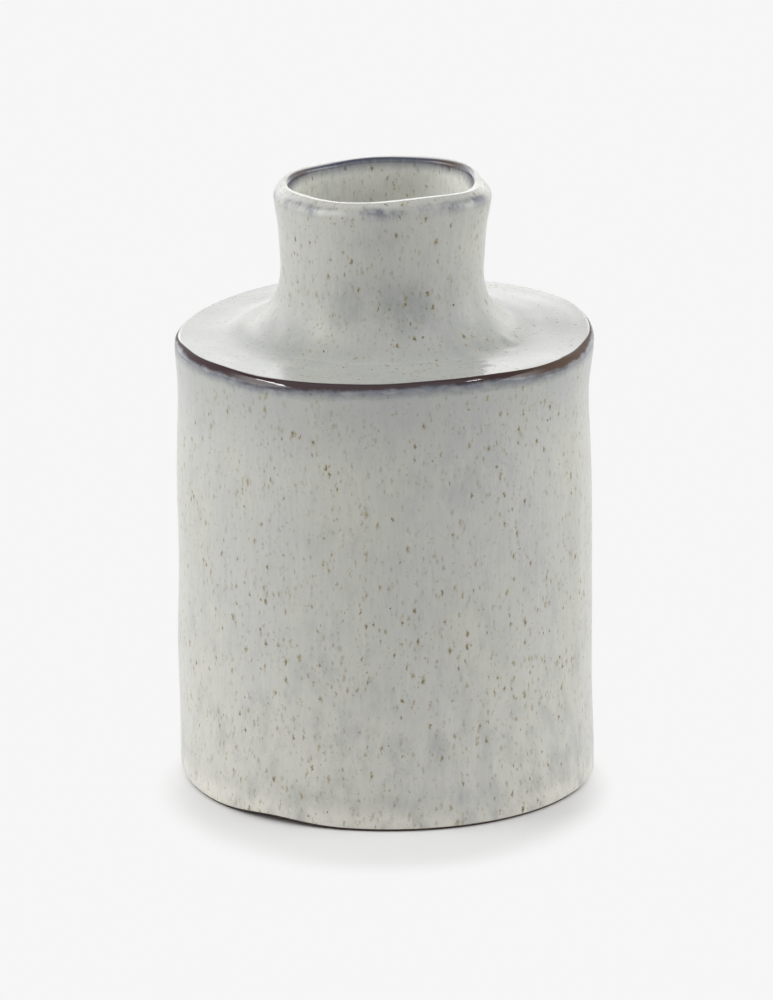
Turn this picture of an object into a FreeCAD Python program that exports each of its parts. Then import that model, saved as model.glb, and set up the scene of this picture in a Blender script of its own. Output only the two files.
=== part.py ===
import FreeCAD
import Part
import math
import os

# A hand-built stoneware bottle vase: a slab floor, a rolled slab wall, a flat slab
# shoulder with a hole, a short collar for a neck, and a clay coil worked into the
# neck's root. Three coats of glaze lie on it: one on the wall, one over the shoulder
# and neck, and one inside. The glaze draws back from the foot, the rim and the lip's
# crest, where the clay is bare.
#
# Lengths are millimetres, angles are degrees. The vase stands on the XY plane with
# its axis on Z, and its front is towards -Y. Diameters and heights are those of the
# finished, glazed surface, unless a name says clay. A rise is a height above the
# shoulder.

# Body
foot_diameter = 149.2
foot_bevel_width = 1.0
foot_bevel_height = 2.0
waist_diameter = 145.2
waist_height = 140.0
rim_diameter = 147.8
shoulder_height = 163.0
rim_edge_radius = 2.4
floor_thickness = 7.0
wall_thickness = 6.0
shoulder_thickness = 6.5

# Neck and lip
root_diameter = 73.2
root_coil_leg = 10.0
flare_diameter = 75.0
flare_rise = 40.0
lip_diameter = 77.8
lip_bulge_rise = 50.0
lip_edge_radius = 3.0
crest_rise = 54.4
crest_radius = 1.2
neck_thickness = 4.7

# Glaze
glaze_thickness = 0.5
liner_thickness = 0.4

# Marks of the hand. A lobe is (how many round the piece, how far it stands out as a
# share of the radius, at which angle it stands out most). The neck sits a little to
# the left of the body, and the shoulder and the lip lean.
body_lobe_shares = ((2, 0.005, -20.0), (3, 0.010, -18.0), (4, 0.005, -20.0), (5, 0.005, -30.0))
neck_lobe_shares = ((2, 0.012, -62.0), (3, 0.013, -48.0), (4, 0.018, -30.0))
neck_shift = 0.8
rim_lift = 1.1
rim_lift_angle = -37.0
lip_lift = 1.7
lip_lift_angle = 6.0

# Where the rounded forms start and end, as the direction from the centre of rounding.
coil_start_angle = 190.0
coil_end_angle = 260.0
lip_slope_angle = 65.0

# How finely curves are built: points round a ring, and straight steps across each
# rounding.
ring_points = 16
coil_steps = 4
rim_steps = 2
lip_steps = 2
crest_steps = 2

# Worked-out places. Body and neck are straight inside, so their walls have the named
# thickness, glaze and all, where the outside is narrowest.
foot_radius = foot_diameter / 2
waist_radius = waist_diameter / 2
rim_radius = rim_diameter / 2
lip_radius = lip_diameter / 2
inside_radius = min(foot_radius, waist_radius, rim_radius) - wall_thickness
mouth_radius = min(root_diameter, flare_diameter, lip_diameter) / 2 - neck_thickness
wall_top = shoulder_height - shoulder_thickness
clay_shoulder = shoulder_height - glaze_thickness
rim_edge_height = clay_shoulder - rim_edge_radius
clay_root_radius = root_diameter / 2 - glaze_thickness
root_top = clay_shoulder + root_coil_leg
flare_height = shoulder_height + flare_rise
bulge_height = shoulder_height + lip_bulge_rise
crest_height = shoulder_height + crest_rise


def slope_at(height):
    """How steeply a ring leans at this height, along X and along Y.

    The wall is level up to its waist and leans with the shoulder above it. Above its
    root, the neck goes on to the lean of the lip.
    """
    def steepness(lift, angle, radius):
        turn = math.radians(angle)
        return lift / radius * math.cos(turn), lift / radius * math.sin(turn)

    rim = steepness(rim_lift, rim_lift_angle, rim_radius)
    lip = steepness(lip_lift, lip_lift_angle, lip_radius)
    wall_part = min(max((height - waist_height) / (wall_top - waist_height), 0.0), 1.0)
    neck_part = max((height - root_top) / (crest_height - root_top), 0.0)
    return [wall_part * (1 - neck_part) * low + neck_part * high for low, high in zip(rim, lip)]


def ring(radius, height, lobe_shares, shift):
    """A smooth closed curve round the vase, through points at equal angles."""
    slope_x, slope_y = slope_at(height)
    points = []
    for index in range(ring_points):
        angle = 2 * math.pi * index / ring_points + math.pi / 2
        push = sum(
            share * math.cos(count * (angle - math.radians(peak)))
            for count, share, peak in lobe_shares)
        x = radius * (1 + push) * math.cos(angle) - shift
        y = radius * (1 + push) * math.sin(angle)
        points.append(FreeCAD.Vector(x, y, height + slope_x * x + slope_y * y))
    curve = Part.BSplineCurve()
    steps = [float(index) for index in range(ring_points + 1)]
    curve.interpolate(Points=points, PeriodicFlag=True, Parameters=steps)
    return curve


def body_ring(radius, height):
    return ring(radius, height, body_lobe_shares, 0.0)


def neck_ring(radius, height):
    return ring(radius, height, neck_lobe_shares, neck_shift)


def strip(low, high):
    """The face between two rings: flat where both lie in one plane, or else ruled."""
    edges = [low.toShape(), high.toShape()]
    if Part.Compound(edges).findPlane():
        return Part.makeFace([Part.Wire([edge]) for edge in edges], "Part::FaceMakerBullseye")
    poles = [[first, second] for first, second in zip(low.getPoles(), high.getPoles())]
    face = Part.BSplineSurface()
    face.buildFromPolesMultsKnots(
        poles, low.getMultiplicities(), [2, 2], low.getKnots(), [0.0, 1.0],
        True, False, low.Degree, 1)
    return face.toShape()


def sewn(faces):
    """One closed solid out of faces that share their edges."""
    shape = Part.Compound(faces)
    shape.sewShape()
    solid = Part.Solid(shape.Shells[0])
    if solid.Volume < 0:
        solid.reverse()
    return solid


def hoop(rings):
    """A ring-shaped solid: strips from each ring to the next and back to the first."""
    return sewn([strip(low, high) for low, high in zip(rings, rings[1:] + rings[:1])])


def drum(rings):
    """A solid closed by a flat disc on its first and on its last ring."""
    sides = [strip(low, high) for low, high in zip(rings, rings[1:])]
    ends = [Part.Face(Part.Wire([end.toShape()])) for end in (rings[0], rings[-1])]
    return sewn(sides + ends)


def arc(centre, radius, start, end, steps):
    """Places (radius, height) along a rounded form, from one direction to another."""
    places = []
    for index in range(steps + 1):
        turn = math.radians(start + (end - start) * index / steps)
        places.append((centre[0] + radius * math.cos(turn), centre[1] + radius * math.sin(turn)))
    return places


def root_arc(depth):
    """Rings down the hollow root of the neck, at some depth of glaze above the clay."""
    half_turn = math.radians((coil_end_angle - coil_start_angle) / 2)
    radius = root_coil_leg / (math.sqrt(2) * math.sin(half_turn))
    reach = (root_coil_leg + radius * math.sqrt(2) * math.cos(half_turn)) / 2
    centre = (clay_root_radius + reach, clay_shoulder + reach)
    places = arc(centre, radius - depth, coil_start_angle, coil_end_angle, coil_steps)
    places[-1] = (places[-1][0], clay_shoulder + depth)
    return [neck_ring(*place) for place in places]


def between(height, low, high):
    """The place at a height on the straight line from one (radius, height) to another."""
    part_way = (height - low[1]) / (high[1] - low[1])
    return low[0] + part_way * (high[0] - low[0]), height


# Rings of the wall, from the foot up to the shoulder
foot_place = (foot_radius - glaze_thickness, foot_bevel_height)
waist_place = (waist_radius - glaze_thickness, waist_height)
rim_place = (rim_radius, rim_edge_height)
foot_edge = body_ring(foot_place[0] - foot_bevel_width, 0.0)
clay_foot = body_ring(*foot_place)
glaze_foot = body_ring(foot_radius, foot_bevel_height + glaze_thickness)
floor_seam = body_ring(*between(floor_thickness, foot_place, waist_place))
floor_inside = body_ring(inside_radius, floor_thickness)
clay_waist = body_ring(*waist_place)
glaze_waist = body_ring(waist_radius, waist_height)
top_seam = body_ring(*between(wall_top, waist_place, rim_place))
top_inside = body_ring(inside_radius, wall_top)

# Rings of the shoulder, from the rim in to the hole
rim_centre = (rim_radius - rim_edge_radius, rim_edge_height)
rim_edge = [body_ring(*place) for place in arc(rim_centre, rim_edge_radius, 0.0, 90.0, rim_steps)]
glaze_rim = body_ring(rim_centre[0] - glaze_thickness, shoulder_height)
root_clay = root_arc(0.0)
root_glaze = root_arc(glaze_thickness)
collar_foot = neck_ring(clay_root_radius, clay_shoulder)
hole_high = neck_ring(mouth_radius, clay_shoulder)
hole_low = neck_ring(mouth_radius, wall_top)

# Rings of the neck and the lip, from the root up to the crest and over into the mouth
flare_clay = neck_ring(flare_diameter / 2 - glaze_thickness, flare_height)
flare_glaze = neck_ring(flare_diameter / 2, flare_height)
bulge_clay = neck_ring(lip_radius - glaze_thickness, bulge_height)
lip_centre = (lip_radius - lip_edge_radius, bulge_height)
lip_glaze = [
    neck_ring(*place) for place in arc(lip_centre, lip_edge_radius, 0.0, lip_slope_angle, lip_steps)]
crest_centre = (mouth_radius + crest_radius, crest_height - crest_radius)
crest = [
    neck_ring(*place) for place in arc(crest_centre, crest_radius, lip_slope_angle, 180.0, crest_steps)]


def base_slab():
    """The round floor slab, bevelled where it meets the table."""
    return drum([foot_edge, clay_foot, floor_seam])


def body_wall():
    """The rolled slab that stands on the floor slab."""
    return hoop([floor_inside, floor_seam, clay_waist, top_seam, top_inside])


def shoulder_slab():
    """The flat slab on the wall, with the bare rim round it and a hole in it."""
    return hoop([hole_low, top_seam] + rim_edge + [hole_high])


def neck_collar():
    """The collar luted round the hole, flared into a rounded lip that falls outward."""
    return hoop([hole_high, collar_foot, root_clay[0], flare_clay, bulge_clay, lip_glaze[-1]] + crest)


def neck_root_coil():
    """The coil of clay smoothed into the corner between collar and shoulder."""
    return hoop([collar_foot] + root_clay)


def body_glaze():
    """The coat on the wall, from just above the foot up to the bare rim."""
    clay_side = [clay_foot, floor_seam, clay_waist, top_seam]
    return hoop(clay_side + [rim_edge[0], glaze_waist, glaze_foot])


def shoulder_glaze():
    """The coat over the shoulder, the neck's root, the neck and the lip's outside."""
    outside = [glaze_rim] + root_glaze[::-1] + [flare_glaze] + lip_glaze
    inside = root_clay[::-1] + [flare_clay, bulge_clay]
    return hoop([rim_edge[-1]] + outside + inside[::-1])


def liner_glaze():
    """The coat inside, poured in and out, that makes the vase hold water."""
    clay_side = [floor_inside, top_inside, hole_low, crest[-1]]
    glaze_side = [
        neck_ring(mouth_radius - liner_thickness, wall_top - liner_thickness),
        body_ring(inside_radius - liner_thickness, wall_top - liner_thickness),
        body_ring(inside_radius - liner_thickness, floor_thickness + liner_thickness)]
    return drum(clay_side + glaze_side)


os.makedirs("parts", exist_ok=True)
for piece in (base_slab, body_wall, shoulder_slab, neck_collar, neck_root_coil,
              body_glaze, shoulder_glaze, liner_glaze):
    piece().exportStep(f"parts/{piece.__name__}.step")
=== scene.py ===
"""A glazed, slab-built bottle vase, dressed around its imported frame.

Every piece is a profile turned round the vase's axis on a grid of (place along the
profile, angle), then moved by one smooth rule to where the potter's hands left it, so
that clay and glaze stay nested. Lengths are metres; MM turns millimetres into them.
"""

import math

import bpy
import numpy as np
from bpy.props import FloatProperty, FloatVectorProperty, PointerProperty
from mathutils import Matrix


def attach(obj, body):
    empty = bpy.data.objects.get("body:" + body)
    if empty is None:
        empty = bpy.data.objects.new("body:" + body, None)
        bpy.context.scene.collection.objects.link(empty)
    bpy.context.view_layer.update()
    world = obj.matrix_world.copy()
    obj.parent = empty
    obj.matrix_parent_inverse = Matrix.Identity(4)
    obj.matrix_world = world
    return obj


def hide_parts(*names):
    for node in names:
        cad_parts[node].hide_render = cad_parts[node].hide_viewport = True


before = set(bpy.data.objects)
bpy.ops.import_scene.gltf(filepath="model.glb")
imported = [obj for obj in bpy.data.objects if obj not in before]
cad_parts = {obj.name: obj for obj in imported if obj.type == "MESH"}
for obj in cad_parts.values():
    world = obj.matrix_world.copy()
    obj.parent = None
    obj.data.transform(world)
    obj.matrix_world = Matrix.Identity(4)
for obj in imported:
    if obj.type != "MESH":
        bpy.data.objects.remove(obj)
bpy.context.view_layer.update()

bl_info = {
    "name": "Slab-built bottle vase",
    "version": (1, 0, 0),
    "blender": (4, 5, 0),
    "location": "3D View > Sidebar > Vase",
    "description": "Builds a hand-made glazed bottle vase and the studio it stands in",
    "category": "Add Mesh",
}

MM = 0.001

# Marks of the hand, in millimetres and degrees. A lobe is (how many round the piece,
# how far it stands out, the angle where it stands out most). Angles run from +X
# towards +Y, so the front of the vase is at -90.
FOOT_LOBES = ((2, 0.99, -61), (3, 0.46, 12), (4, 0.90, -30), (5, 0.61, -7))
RIM_LOBES = ((1, 0.39, 41), (2, 1.21, 8), (3, 0.44, -35), (4, 0.13, 0), (5, 0.55, -34))
FOOT_SPREAD = ((0, 1.7, 0), (1, 0.27, -51), (2, 0.34, 86), (4, 0.61, 36), (5, 0.32, 23))
ROOT_LOBES = ((2, 0.55, -70), (3, 0.50, -48), (4, 0.30, -30))
LIP_LOBES = ((2, 0.65, -62), (3, 0.64, -49), (4, 1.10, -30), (5, 0.59, -19))
MOUTH_LOBES = ((2, 0.66, -4), (3, 0.42, -31), (4, 0.34, -16), (5, 0.85, 35))

# Dents and swellings of the wall: angle, height, half-width round the wall and
# half-height in millimetres, and how far the surface moves out (a dent is negative).
WALL_PRESSES = (
    (-10, 140, 40, 24, -1.5), (-24, 80, 4, 60, 0.35), (-33, 85, 7, 62, -0.35),
    (178, 141, 30, 18, -0.6), (-160, 60, 6, 70, 0.25), (-128, 95, 22, 30, -0.35),
    (-80, 60, 30, 26, 0.3), (-55, 120, 20, 22, 0.25), (60, 90, 30, 40, -0.6),
    (110, 50, 26, 34, 0.5), (145, 110, 24, 30, -0.5), (182, 160, 26, 12, -0.8),
    (-178, 45, 26, 26, 1.2), (-4, 100, 24, 20, -0.5))

# Marks on the shoulder and at the neck's root: angle, radius, half-width round and
# half-length outward in millimetres, and lift.
SHOULDER_PRESSES = (
    (-26, 48, 3.0, 2.0, 0.40), (-30, 51.5, 4.5, 1.6, -0.30), (-51, 50, 3.5, 2.0, 0.30),
    (-55, 54, 4.0, 1.6, -0.22), (162, 42.0, 6.0, 0.8, -0.16), (168, 44.5, 5.0, 0.7, -0.14),
    (175, 66, 34, 12, -0.9),
    (-100, 62, 30, 7, -0.12), (20, 60, 24, 8, 0.25), (95, 60, 40, 8, -0.3))

# Waves of height, written as lobes are: of the lip's crest, of the rim, and of the
# rim's sharp line.
CREST_WAVES = ((0, -0.30, 0), (1, -0.80, 65), (3, 0.30, -80), (5, 0.16, 10), (7, 0.08, 50))
RIM_HEIGHTS = ((2, 0.23, 83), (3, 0.16, 47), (4, 0.33, 19), (5, 0.24, 20))
RIM_WAVES = ((2, 0.20, -60), (3, 0.22, 20), (6, 0.10, -40), (9, 0.07, 15), (17, 0.05, 70))

# The lean of the shoulder and of the lip, as rise per length along X and along Y, and
# how far the rim lies below the shoulder.
RIM_SLOPE = (0.0099, 0.0057)
RIM_DROP = 0.60 * MM
LIP_SLOPE = (math.tan(math.radians(2.54)), 0.0045)

# Below this height the foot spreads, and at the left of the front its edge was lifted
# off the board.
FOOT_SPREAD_HEIGHT = 40 * MM
FOOT_LIFT = 1.9 * MM
FOOT_LIFT_ANGLE = -121
FOOT_LIFT_WIDTH = math.radians(12)

# Random swellings: seed, number of waves, how far, longest wave along the surface.
WALL_SWELL = (7, 14, 0.5 * MM, 120 * MM)
NECK_SWELL = (21, 8, 0.3 * MM, 60 * MM)
SHOULDER_SWELL = (5, 12, 0.18 * MM, 14 * MM)

# The rim's worn edge, from the wall in: arcs from one direction to another, in degrees,
# with their radius as a share of the rim's rounding.
RIM_ARCS = ((0, 33, 0.8), (33, 39, 4.0), (39, 58, 1.4), (58, 90, 0.34))

# Soft blue-grey smudges: angle, height, half-width and half-height in millimetres,
# strength. Blue patches under the lip: angle, half-width in degrees, strength.
SMUDGES = (
    (-90, 11, 40, 3.0, 0.22), (-62, 12, 26, 3.5, 0.22), (-118, 14, 22, 3.0, 0.10),
    (-30, 17, 20, 3.0, 0.25), (10, 13, 40, 3.0, 0.3), (90, 11, 70, 3.0, 0.35), (170, 12, 50, 3.0, 0.3),
    (-76, 181, 10, 8, 0.50), (-112, 184, 9, 10, 0.28), (-90, 178, 30, 10, 0.35), (-96, 204, 12, 4, 0.2),
    (-137, 168, 15, 7, 0.40), (-42, 168, 15, 7, 0.40), (-68, 128, 16, 14, 0.40),
    (-112, 60, 14, 9, 0.20), (-70, 32, 18, 8, 0.30))
LIP_PATCHES = (
    (-146, 9, 1.0), (-130, 6, 0.7), (-120, 4, 0.35), (-96, 9, 0.80), (-80, 12, 0.85), (-52, 9, 0.95),
    (-33, 8, 0.9), (10, 20, 0.6), (60, 30, 0.8), (120, 30, 0.7), (178, 16, 0.7))

# Iron specks, in the order in which they are laid: size of a cell in millimetres, how
# tall, share of the cells that hold one, radius in millimetres, how soft the edge is,
# how much they crowd, colour, strength. The drops also have cores.
SPECKS = {
    "dust": (1.2, 2.2, 0.7, 0.38, 0.95, 0.5, "olive", 0.40),
    "faint": (1.9, 2.4, 0.9, 0.60, 0.95, 0.5, "olive", 0.52),
    "drops": (2.5, 2.2, 0.8, 0.70, 0.92, 0.8, "ochre", 0.78),
    "dots": (5.6, 1.15, 0.4, 0.33, 0.45, 0.3, "soot", 0.9),
}
CORE_STRENGTH = 0.55

# Half the width in millimetres of the soft edge of the dark break.
BREAK_SOFTNESS = 0.9

# The lamps: name, direction round the vase in degrees from -Y towards +X, elevation in
# degrees, distance, width and height in metres, and radiance. They face the axis at LAMP_AIM.
LAMPS = (
    ("left_panel", -82, 27, 1.3, 0.75, 0.85, 3.0),
    ("left_box", -79, 44, 1.3, 0.40, 0.05, 20.0),
    ("right_panel", 88, 25, 1.3, 0.85, 0.80, 2.7),
    ("right_box", 61, 55, 1.3, 0.15, 0.05, 30.0),
    ("left_back", -132, 20, 1.5, 1.60, 1.00, 0.85),
    ("right_back", 125, 20, 1.5, 1.60, 1.00, 0.72),
    ("back_panel", 180, 17, 1.7, 2.0, 0.80, 1.0),
    ("top_panel", -20, 68, 1.4, 1.9, 1.5, 0.58),
)
LAMP_AIM = 0.1

# Closer than this, two places are one; and what is spared next to a cut.
SAME_PLACE = 1e-7
CUT_SPARE = 1e-6


def length(name, description, millimetres):
    """A length that the user can change, with its default in millimetres."""
    return FloatProperty(name=name, description=description, default=millimetres * MM, unit="LENGTH")


def tone(name, description, default):
    """A colour that the user can change."""
    return FloatVectorProperty(name=name, description=description, size=3, subtype="COLOR", default=default)


class VaseBody(bpy.types.PropertyGroup):
    """The sizes of the body, over its glaze."""
    foot_radius: length("Foot", "Radius at the foot", 74.6)
    middle_radius: length("Middle", "Radius half way up", 73.95)
    waist_radius: length("Waist", "Radius under the shoulder", 73.2)
    waist_height: length("Waist height", "Height of the waist", 141)
    rim_radius: length("Rim", "Radius at the shoulder's rim", 74.1)
    rim_rounding: length("Rim rounding", "Size of the rim's worn edge", 2.9)
    shoulder_height: length("Shoulder", "Height of the shoulder", 163)
    bare_foot: length("Bare foot", "Height of clay left bare at the foot", 0.9)
    floor_thickness: length("Floor", "Thickness of the floor slab", 7)
    slab_thickness: length("Shoulder slab", "Thickness of the shoulder slab", 6.5)
    inside_radius: length("Inside", "Radius inside the wall", 66.6)
    coat: length("Glaze", "Thickness of the glaze outside", 0.5)
    liner: length("Liner", "Thickness of the glaze inside", 0.4)


class VaseNeck(bpy.types.PropertyGroup):
    """The sizes of the neck and lip, over their glaze."""
    root_radius: length("Root", "Radius of the neck above its root", 36.5)
    sweep: length("Sweep", "Width and height of the sweep at the neck's root", 18.5)
    flare_radius: length("Flare", "Radius where the neck widens", 37.4)
    flare_height: length("Flare height", "Height of the flare", 202)
    lip_radius: length("Lip", "Radius of the lip", 38.9)
    lip_height: length("Lip height", "Height where the lip is widest", 212.4)
    lip_rounding: length("Lip rounding", "Radius of the lip's outer edge", 4.0)
    crest_height: length("Crest", "Height of the lip's crest", 217.5)
    crest_rounding: length("Crest rounding", "Radius of the crest", 1.5)
    bore_radius: length("Bore", "Radius of the clay inside the neck", 31.9)
    shift: length("Shift", "How far the neck sits to the left", 0.8)


class GlazeLook(bpy.types.PropertyGroup):
    """The colours of glaze and clay."""
    celadon: tone("Grey-green", "Main colour of the glaze", (0.585, 0.585, 0.525))
    lavender: tone("Grey-lavender", "Where the glaze lies thicker", (0.540, 0.543, 0.532))
    # Laid as the warm band above the foot, and faintly over the whole lower wall as painted light from the
    # floor.
    cream_and_painted_light: tone("Cream", "Warm band above the foot", (0.80, 0.78, 0.70))
    smoke: tone("Smoke", "Blue-grey smudges", (0.37, 0.39, 0.385))
    veil: tone("Veil", "Blue-grey where the glaze thins", (0.115, 0.130, 0.175))
    ink: tone("Ink", "Blue-black inside the mouth", (0.045, 0.045, 0.085))
    dark: tone("Break", "Where the glaze breaks over an edge", (0.036, 0.014, 0.018))
    umber: tone("Umber", "Browner break on the right of the rim", (0.085, 0.050, 0.030))
    olive: tone("Olive", "Faint specks", (0.29, 0.25, 0.105))
    ochre: tone("Ochre", "Iron specks", (0.30, 0.225, 0.062))
    rust: tone("Rust", "Cores of the specks", (0.11, 0.070, 0.026))
    soot: tone("Soot", "Rare black specks", (0.035, 0.025, 0.018))
    clay: tone("Clay", "Toasted stoneware at the foot", (0.060, 0.038, 0.030))


class StageLook(bpy.types.PropertyGroup):
    """The camera and the light."""
    camera_distance: length("Camera distance", "From the vase, along -Y", 2539)
    camera_height: length("Camera height", "Above the floor", 892.4)
    camera_side: length("Camera side", "Off the vase's axis", 0.57)
    camera_pitch: FloatProperty(
        name="Camera pitch", description="How far the camera looks down", default=math.radians(17.364),
        unit="ROTATION")
    lens: FloatProperty(name="Lens", description="Focal length in millimetres", default=267.64)
    white: FloatProperty(name="White", description="Level of the backdrop", default=0.9216)
    fill: FloatProperty(name="Fill", description="Level of the light from all round", default=0.27)


def wave(lobes, angle):
    """Sum of distance x cos(count x (angle - peak)), in metres."""
    return sum(far * MM * np.cos(count * (angle - math.radians(peak))) for count, far, peak in lobes)


def ramp(value, low, high):
    """0 below low, 1 above high, and a smooth S between. It also falls, if high < low."""
    share = np.clip((value - low) / (high - low), 0.0, 1.0)
    return share * share * (3 - 2 * share)


def turn_from(angle, degrees):
    """The signed angle from a direction in degrees, between -pi and pi."""
    return (angle - math.radians(degrees) + np.pi) % (2 * np.pi) - np.pi


def near(angle, degrees, width):
    """exp(-(turn / width)^2): 1 in a direction and nearly 0 two widths from it."""
    return np.exp(-(turn_from(angle, degrees) / width) ** 2)


def spot(around, along, wide, tall):
    """A soft spot: exp(-(around / wide)^2 - (along / tall)^2), the last two in mm."""
    return np.exp(-(around / (wide * MM)) ** 2 - (along / (tall * MM)) ** 2)


def unevenness(angle, along, seed, count, far, longest):
    """A soft random swelling: a sum of waves round the vase times waves along it. A
    short wave is as steep as a long one."""
    draw = np.random.default_rng(seed)
    total = 0.0
    for _ in range(count):
        around = draw.integers(2, 11)
        share = draw.uniform(0.35, 1.0)
        starts = draw.uniform(0, 2 * np.pi, 2)
        swing = np.cos(around * angle + starts[0]) * np.cos(2 * np.pi * along / share / longest + starts[1])
        total = total + share * swing / around ** 0.5
    return total * far / count ** 0.5


def hand_made(radius, angle, height, body, neck):
    """Where the hand left the turned point (radius, angle, height): x, y and z.

    The radius grows by the lobes of the foot, blended up to those of the rim, and by
    the presses of the wall. Near the neck these give way to the neck's own lobes and
    its shift. The height gains a lean that grows from the wall to the rim and again to
    the lip, plus the waves of rim and crest, the marks on the shoulder and the lifted
    place of the foot.
    """
    top = body.shoulder_height
    crest = neck.crest_height
    in_neck = ramp(radius, 60 * MM, 44 * MM) * ramp(height, top - 34 * MM, top - 8 * MM)
    outer = ramp(radius, 40 * MM, 64 * MM)

    up = np.clip(height / top, 0, 1)
    push = (1 - up) * wave(FOOT_LOBES, angle) + up * wave(RIM_LOBES, angle)
    for degrees, centre, wide, tall, far in WALL_PRESSES:
        around = turn_from(angle, degrees) * body.middle_radius
        push = push + outer * far * MM * spot(around, height - centre * MM, wide, tall)
    calm = ramp(height, top - 2 * MM, top - 22 * MM) * ramp(height, 0.0, 12 * MM)
    push = push + outer * calm * unevenness(angle, height, *WALL_SWELL)
    push = push + ramp(height, FOOT_SPREAD_HEIGHT, 0.0) * wave(FOOT_SPREAD, angle)
    push = push * radius / body.rim_radius

    neck_up = np.clip((height - top) / (crest - top), 0, 1)
    inward = ramp(radius, neck.lip_radius - 1.5 * MM, neck.bore_radius + 1.0 * MM) * ramp(neck_up, 0.7, 1.0)
    lip = (1 - inward) * wave(LIP_LOBES, angle) + inward * wave(MOUTH_LOBES, angle)
    neck_push = (1 - neck_up) * wave(ROOT_LOBES, angle) + neck_up * lip
    neck_push = neck_push + ramp(neck_up, 0, 0.2) * ramp(neck_up, 1.0, 0.8) * unevenness(
        angle, height, *NECK_SWELL)
    neck_push = neck_push * radius / neck.lip_radius

    far_out = radius + (1 - in_neck) * push + in_neck * neck_push
    x = far_out * np.cos(angle) - in_neck * neck.shift
    y = far_out * np.sin(angle)

    lean = ramp(height, 90 * MM, top - 6 * MM)
    neck_lean = np.clip((height - top - neck.sweep) / (crest - top - neck.sweep), 0, 1)
    slope_x = lean * ((1 - neck_lean) * RIM_SLOPE[0] + neck_lean * LIP_SLOPE[0])
    slope_y = lean * ((1 - neck_lean) * RIM_SLOPE[1] + neck_lean * LIP_SLOPE[1])
    z = height + slope_x * x + slope_y * y
    z = z + lean * outer * (0.6 * wave(RIM_WAVES, angle) + wave(RIM_HEIGHTS, angle) - RIM_DROP)
    z = z + ramp(neck_up, 0.55, 1.0) * in_neck * wave(CREST_WAVES, angle)

    on_top = ramp(height, top - 9 * MM, top - 2 * MM) * ramp(height, top + 30 * MM, top + 6 * MM)
    for degrees, centre, wide, long, far in SHOULDER_PRESSES:
        across = turn_from(angle, degrees) * centre / wide
        outward = (radius - centre * MM) / (long * MM)
        z = z + on_top * far * MM * np.exp(-across ** 2 - outward ** 2)
    flat = on_top * ramp(radius, 44 * MM, 50 * MM) * ramp(radius, 73 * MM, 69 * MM)
    z = z + flat * unevenness(angle, radius, *SHOULDER_SWELL)

    at_edge = ramp(radius, 66 * MM, 72 * MM) * np.exp(-height / (7 * MM))
    return x, y, z + at_edge * near(angle, FOOT_LIFT_ANGLE, FOOT_LIFT_WIDTH) * FOOT_LIFT


def skin_marks(radius, angle, height, body, neck):
    """What the glaze shader follows, at each turned point, as named arrays.

    below_rim is the way along the skin, in millimetres, down from the sharp line where
    the shoulder's glaze stops; it is negative on the shoulder. off_crest is the way
    from the lip's crest, negative inside. patches and break_width are the strength of
    the blue under the lip and the width of the dark break. tint holds the strength of
    the creamy band above the foot together with painted light over the lower wall, of
    smoke and of umber. flow is (cos angle, sin angle, way along the profile).
    """
    rim = rim_line(body)
    edge, low = rim[-1][0], rim[0][1]
    across = np.clip(radius - edge, 0, body.rim_radius - edge)
    down = np.clip(body.shoulder_height - height, 0, body.shoulder_height - low)
    below = 0.75 * (across + down) + np.maximum(low - height, 0) - np.maximum(edge - radius, 0)
    below = below + 0.22 * MM * np.cos(5 * angle + 1) + 0.12 * MM * np.cos(13 * angle)
    below = below + wave(RIM_WAVES, angle)
    below = below - 1.3 * MM * ramp(np.sin(angle), -0.34, 0.10)
    jump = ramp(turn_from(angle, -31), -0.02, 0.02) * ramp(turn_from(angle, -4), 0.1, -0.2)
    below = below + 0.5 * MM * jump

    middle = neck.bore_radius + neck.crest_rounding
    crest_way = np.hypot(radius - middle, np.minimum(height - neck.crest_height, 0))
    crest_way = np.where(radius >= middle, crest_way, -crest_way)

    foot_way = height - body.bare_foot
    from_left, back = angle + 2.06, np.sin(angle)
    break_width = (
        2.75 + 0.5 * np.cos(from_left) + 0.4 * np.cos(4 * from_left)
        + 0.25 * ramp(back, -0.75, -0.3) - 1.5 * ramp(back, -0.46, -0.08))
    band = 4.6 * MM + 1.2 * MM * np.cos(3 * angle + 0.6) + 0.7 * MM * np.cos(8 * angle)
    # The first term is the glaze's warm band above the foot; the second lightens the lower wall towards the
    # foot: painted light, standing in for light thrown up by the floor.
    cream_and_painted_light = 0.72 * ramp(foot_way, band + 3.5 * MM, band - 2.5 * MM) + 0.42 * ramp(foot_way, 105 * MM, 5 * MM)
    smoke = sum(
        strength * spot(turn_from(angle, degrees) * radius, height - level * MM, wide, tall)
        for degrees, level, wide, tall, strength in SMUDGES)
    on_lip = ramp(radius, 50 * MM, 46 * MM)
    umber = (1 - on_lip) * near(angle, -28, 0.42)
    umber = umber + on_lip * (near(angle, 42, 0.22) + 0.8 * near(angle, 156, 0.2))
    patches = sum(
        strength * near(angle, degrees, math.radians(wide)) for degrees, wide, strength in LIP_PATCHES)
    shape = np.broadcast_shapes(radius.shape, angle.shape)

    def spread(*values):
        """The values at every point, side by side."""
        return np.stack([np.broadcast_to(value, shape) for value in values], -1)

    return {
        "below_rim": spread(below / MM),
        "off_crest": spread(crest_way / MM),
        "patches": spread(patches),
        "break_width": spread(break_width),
        "tint": np.clip(spread(cream_and_painted_light, smoke, umber), 0, 1),
        "flow": spread(np.cos(angle), np.sin(angle), radius - height),
    }


def straight(start, end, step):
    """Places (radius, height) from start to end, a step apart."""
    count = max(int(round(math.dist(start, end) / step)), 1) + 1
    return np.linspace(start, end, count)


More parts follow.
